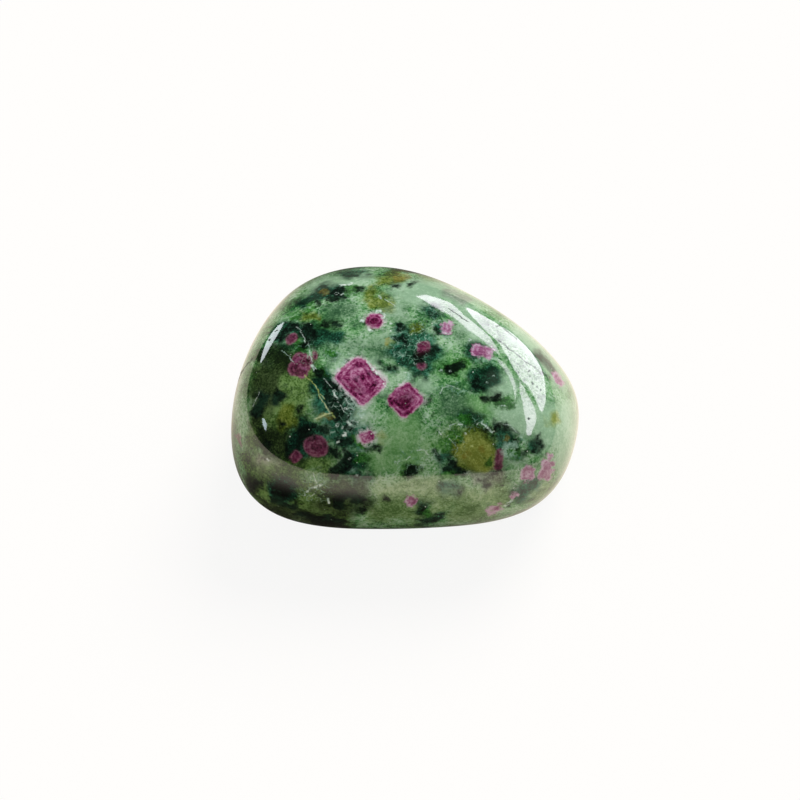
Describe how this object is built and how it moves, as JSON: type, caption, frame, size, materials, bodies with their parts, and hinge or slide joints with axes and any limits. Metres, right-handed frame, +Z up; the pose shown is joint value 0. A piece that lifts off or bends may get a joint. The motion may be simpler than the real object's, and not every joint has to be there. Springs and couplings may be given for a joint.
{
  "type": "tumbled ruby in zoisite stone",
  "caption": "Polished tumbled pebble of green zoisite with red ruby crystals and black hornblende, a rounded wedge lying on its broad flat side.",
  "frame": {"origin": "on the flat resting face, under the middle of the pebble's outline", "axes": "+Z up from the resting face through the thickness, +X along the pebble's length, -Y towards the viewer"},
  "size_m": [0.0318, 0.027, 0.0176],
  "materials": {
    "polished_zoisite": "tumbled to a glassy polish; mottled green with red-violet and black patches"
  },
  "bodies": {
    "root": {"stone": "polished_zoisite"}
  },
  "joints": []
}
